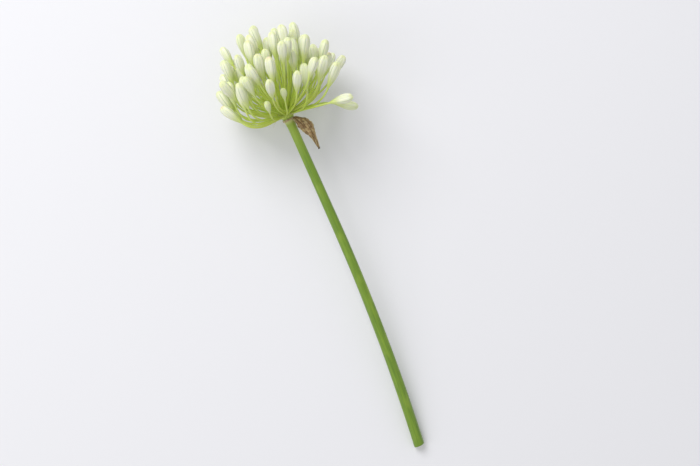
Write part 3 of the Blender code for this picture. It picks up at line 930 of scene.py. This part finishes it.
dress(threads, straw, down_it.step(0.6, 1.0).mix(dry, END_BROWN, 0.6))
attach(threads, "root")


# The spathe bract
# One of the two bracts that wrapped the young umbel. It is dry, thin and papery, brown with paler
# edges and lengthwise veins. It still holds to the scar, hangs back and is twisted at its tip.

BRACT_LENGTH = 39 * MM
BRACT_WIDTH = 13 * MM
BRACT_THICKNESS = 0.3 * MM
BRACT_SEAT = 0.35 * MM  # from the rim of the scar to the middle of the bract's foot
BRACT_REACH = 13 * MM
BRACT_AZIMUTH = math.radians(35)
BRACT_ROLL = math.radians(-62)  # turned this far just past its foot, and on by the next to its tip
BRACT_TURN = math.radians(-55)
BRACT_WAIST = 0.57  # share of the length where the blade narrows to its beak
BRACT_CUP = 0.3
BRACT_FOLD = 0.8 * MM
BRACT_ROWS = 90
BRACT_COLUMNS = 44
SWING_SPEED = 3.2  # the larger, the sooner it stands off by its full reach
ROLL_SPEED = 7
DROP_POWER = 1.15
FOOT_WIDTH = 0.42  # of its full width, which it reaches at the next share of its length
FULL_FROM = 0.3
WAIST_SOFTNESS = 0.055
BEAK_WIDTH = 0.95
BEAK_END = 1.04  # share of the length where the beak would close
BEAK_POWER = 0.8
CUP_LEVEL = 0.35  # share of the cup's depth that lies under the bract's line
PLEATS = 26  # radians of their wave from the middle of the blade to its edge
PLEAT_HEIGHT = 0.24 * MM
CREASE_HEIGHT = 0.22 * MM
EDGE_WANDER = 0.07  # of the width, in slow waves; small teeth have the next share
EDGE_TEETH = 0.03

# The darkest brown and the straw are partly the bract's own tones and partly painted shade and
# painted highlight.
UMBER_AND_SHADE = (0.085, 0.048, 0.02)
DRY_BROWN = (0.32, 0.21, 0.09)
STRAW_AND_HIGHLIGHT = (0.55, 0.44, 0.22)
EDGE_STRAW = (0.56, 0.47, 0.25)
BLOTCH_BROWN = (0.06, 0.032, 0.014)
BEAK_BROWN = (0.035, 0.022, 0.012)


def torn_edge(share, seed, teeth, start):
    """How far one edge of the bract reaches at each row, around 1: slow noise and small teeth."""
    slow = EDGE_WANDER * wander(share * 0, share * 0.5, seed, waves=6)
    return (1 + slow + EDGE_TEETH * np.sin(teeth * share + start))[:, None]


share = np.linspace(0, 1, BRACT_ROWS)
foot = HUB - AXIS * (HUB_OFFSET + SCAR_DEPTH)
out = SIDE * math.cos(BRACT_AZIMUTH) + OVER * math.sin(BRACT_AZIMUTH)
swing = 1 - np.exp(-SWING_SPEED * share)
centre = foot + out * (SCAR_RADIUS + BRACT_SEAT + BRACT_REACH * swing)[:, None]
centre = centre - AXIS * (BRACT_LENGTH * share**DROP_POWER)[:, None]
aim = unit(np.gradient(centre, axis=0))
flat = unit(np.cross(aim, out))
face = np.cross(flat, aim)
twist = BRACT_ROLL * (1 - np.exp(-ROLL_SPEED * share)) + BRACT_TURN * share**3
wide = flat * np.cos(twist)[:, None] + face * np.sin(twist)[:, None]
thick = np.cross(aim, wide)
# The blade rises from a narrow foot to its full width and falls off at the waist to a pointed beak.
blade = 1 / (1 + np.exp((share - BRACT_WAIST) / WAIST_SOFTNESS))
beak = BEAK_WIDTH * (BEAK_END - share) ** BEAK_POWER
rise = np.sin(np.clip(share / FULL_FROM, 0, 1) * math.pi / 2)
rise = FOOT_WIDTH + (1 - FOOT_WIDTH) * rise
breadth = BRACT_WIDTH * rise * (blade + (1 - blade) * beak)
across = np.linspace(-1, 1, BRACT_COLUMNS)
torn = np.where(across[None] < 0, torn_edge(share, 31, 70, 1), torn_edge(share, 37, 57, 2))
sheet = centre[:, None] + wide[:, None] * (breadth[:, None] / 2 * across[None] * torn)[..., None]
# It is cupped across, folded along, pleated between its veins and creased all over.
lift = breadth[:, None] * BRACT_CUP * (across**2 - CUP_LEVEL)[None]
lift = lift + BRACT_FOLD * np.sin(5.2 * across)[None] * np.sin(9 * share + 0.6)[:, None]
pleat = PLEAT_HEIGHT * np.cos(PLEATS * across + 0.8 * np.sin(7 * share[:, None]))
crease = CREASE_HEIGHT * wander(across[None] * 2.4, share[:, None] * 0.35, seed=41, waves=8)
crease = crease * np.clip(4 * share, 0, 1)[:, None]
sheet = sheet + thick[:, None] * (lift + pleat + crease)[..., None]
down = np.gradient(sheet, axis=0)
over = np.gradient(sheet, axis=1)
normal = unit(np.cross(over, down)) * BRACT_THICKNESS / 2
# Each row runs over one face of the blade and back over the other.
loop = np.concatenate([sheet + normal, (sheet - normal)[:, ::-1]], 1)
bract = skin(
    "spathe_bract_leaf", loop[None], sheet[0].mean(0)[None], sheet[-1].mean(0)[None], share
)

papery, round_it, down_it = new_finish(
    "bract_paper",
    {
        "Subsurface Weight": 0.2,
        "Subsurface Radius": (1.0, 0.5, 0.25),
        "Subsurface Scale": 1.2 * MM,
        "Specular IOR Level": 0.35,
    },
)
# From 0 at one edge of the blade to 1 at the other, alike on both of its faces
over_it = 1 - (1 - round_it * 2).math("ABSOLUTE")
fine = over_it.node("ShaderNodeCombineXYZ", {}, {0: over_it * 22, 1: down_it * 3})
vein = fine.noise(1.0, 3, 0.6)
coarse = over_it.node("ShaderNodeCombineXYZ", {}, {0: over_it * 3, 1: down_it * 8})
blotch = coarse.noise(1.3, 4, 0.6)
# The dark umber between the veins and the straw streaks along them are partly the bract's own tones
# and partly painted shade and painted highlight.
brown = vein.step(0.32, 0.68).mix(UMBER_AND_SHADE, DRY_BROWN)
brown = (blotch.step(0.44, 0.62) * vein.step(0.3, 0.62)).mix(brown, STRAW_AND_HIGHLIGHT)
brown = (over_it - 0.5).math("ABSOLUTE").step(0.4, 0.5).mix(brown, EDGE_STRAW, 0.7)
brown = blotch.step(0.38, 0.28).mix(brown, BLOTCH_BROWN, 0.75)
brown = down_it.step(0.93, 0.99).mix(brown, BEAK_BROWN, 0.8)
dress(bract, papery, brown, 0.62 + 0.2 * vein, vein + 0.5 * blotch, 0.3 * MM)
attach(bract, "root")
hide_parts("spathe_bract")


# The surface, light and camera
# A plain pale surface under soft studio light: a wide lamp beyond the head, a weaker one at the
# left, and an even sky. The camera looks straight down, with the scape leaning to the left.

HALF_SURFACE = 4.0
SURFACE_GREY = (0.83, 0.83, 0.86, 1)
SURFACE_ROUGHNESS = 0.9
SKY_WHITE = (0.99, 0.99, 1.0, 1)
SKY_STRENGTH = 0.57
CAMERA_ROLL = math.radians(-24.1)
CAMERA_HEIGHT = 1.5
CAMERA_LENS = 73
CAMERA_REACH = 20

corners = HALF_SURFACE * np.array([(-1, -1, 0), (1, -1, 0), (1, 1, 0), (-1, 1, 0)])
mesh = bpy.data.meshes.new("pale_surface")
mesh.from_pydata(corners.tolist(), [], [(0, 1, 2, 3)])
surface = bpy.data.objects.new("pale_surface", mesh)
bpy.context.scene.collection.objects.link(surface)
paper = bpy.data.materials.new("pale_paper")
paper.use_nodes = True
shader = paper.node_tree.nodes["Principled BSDF"]
shader.inputs["Base Color"].default_value = SURFACE_GREY
shader.inputs["Roughness"].default_value = SURFACE_ROUGHNESS
mesh.materials.append(paper)


def lamp(name, place, target, size, power):
    """A square area lamp at a place, turned to look at a target."""
    light = bpy.data.lights.new(name, "AREA")
    light.size = size
    light.energy = power
    made = bpy.data.objects.new(name, light)
    made.location = place
    way = Vector(target) - Vector(place)
    made.rotation_euler = way.to_track_quat("-Z", "Y").to_euler()
    bpy.context.scene.collection.objects.link(made)


lamp("lamp_beyond", place=(-0.4, 1.9, 2.0), target=(0, 0.05, 0), size=1.7, power=46)
lamp("lamp_left", place=(-2.4, 0.3, 2.0), target=(0, 0, 0), size=1.8, power=13)
sky = bpy.data.worlds.new("even_sky")
sky.use_nodes = True
sky.node_tree.nodes["Background"].inputs["Color"].default_value = SKY_WHITE
sky.node_tree.nodes["Background"].inputs["Strength"].default_value = SKY_STRENGTH
bpy.context.scene.world = sky
bpy.context.scene.view_settings.view_transform = "Standard"

camera = bpy.data.cameras.new("camera")
camera.lens = CAMERA_LENS
camera.clip_end = CAMERA_REACH
view = bpy.data.objects.new("camera", camera)
view.location = (0.0, 0.0, CAMERA_HEIGHT)
view.rotation_euler = (0, 0, CAMERA_ROLL)
bpy.context.scene.collection.objects.link(view)
bpy.context.scene.camera = view
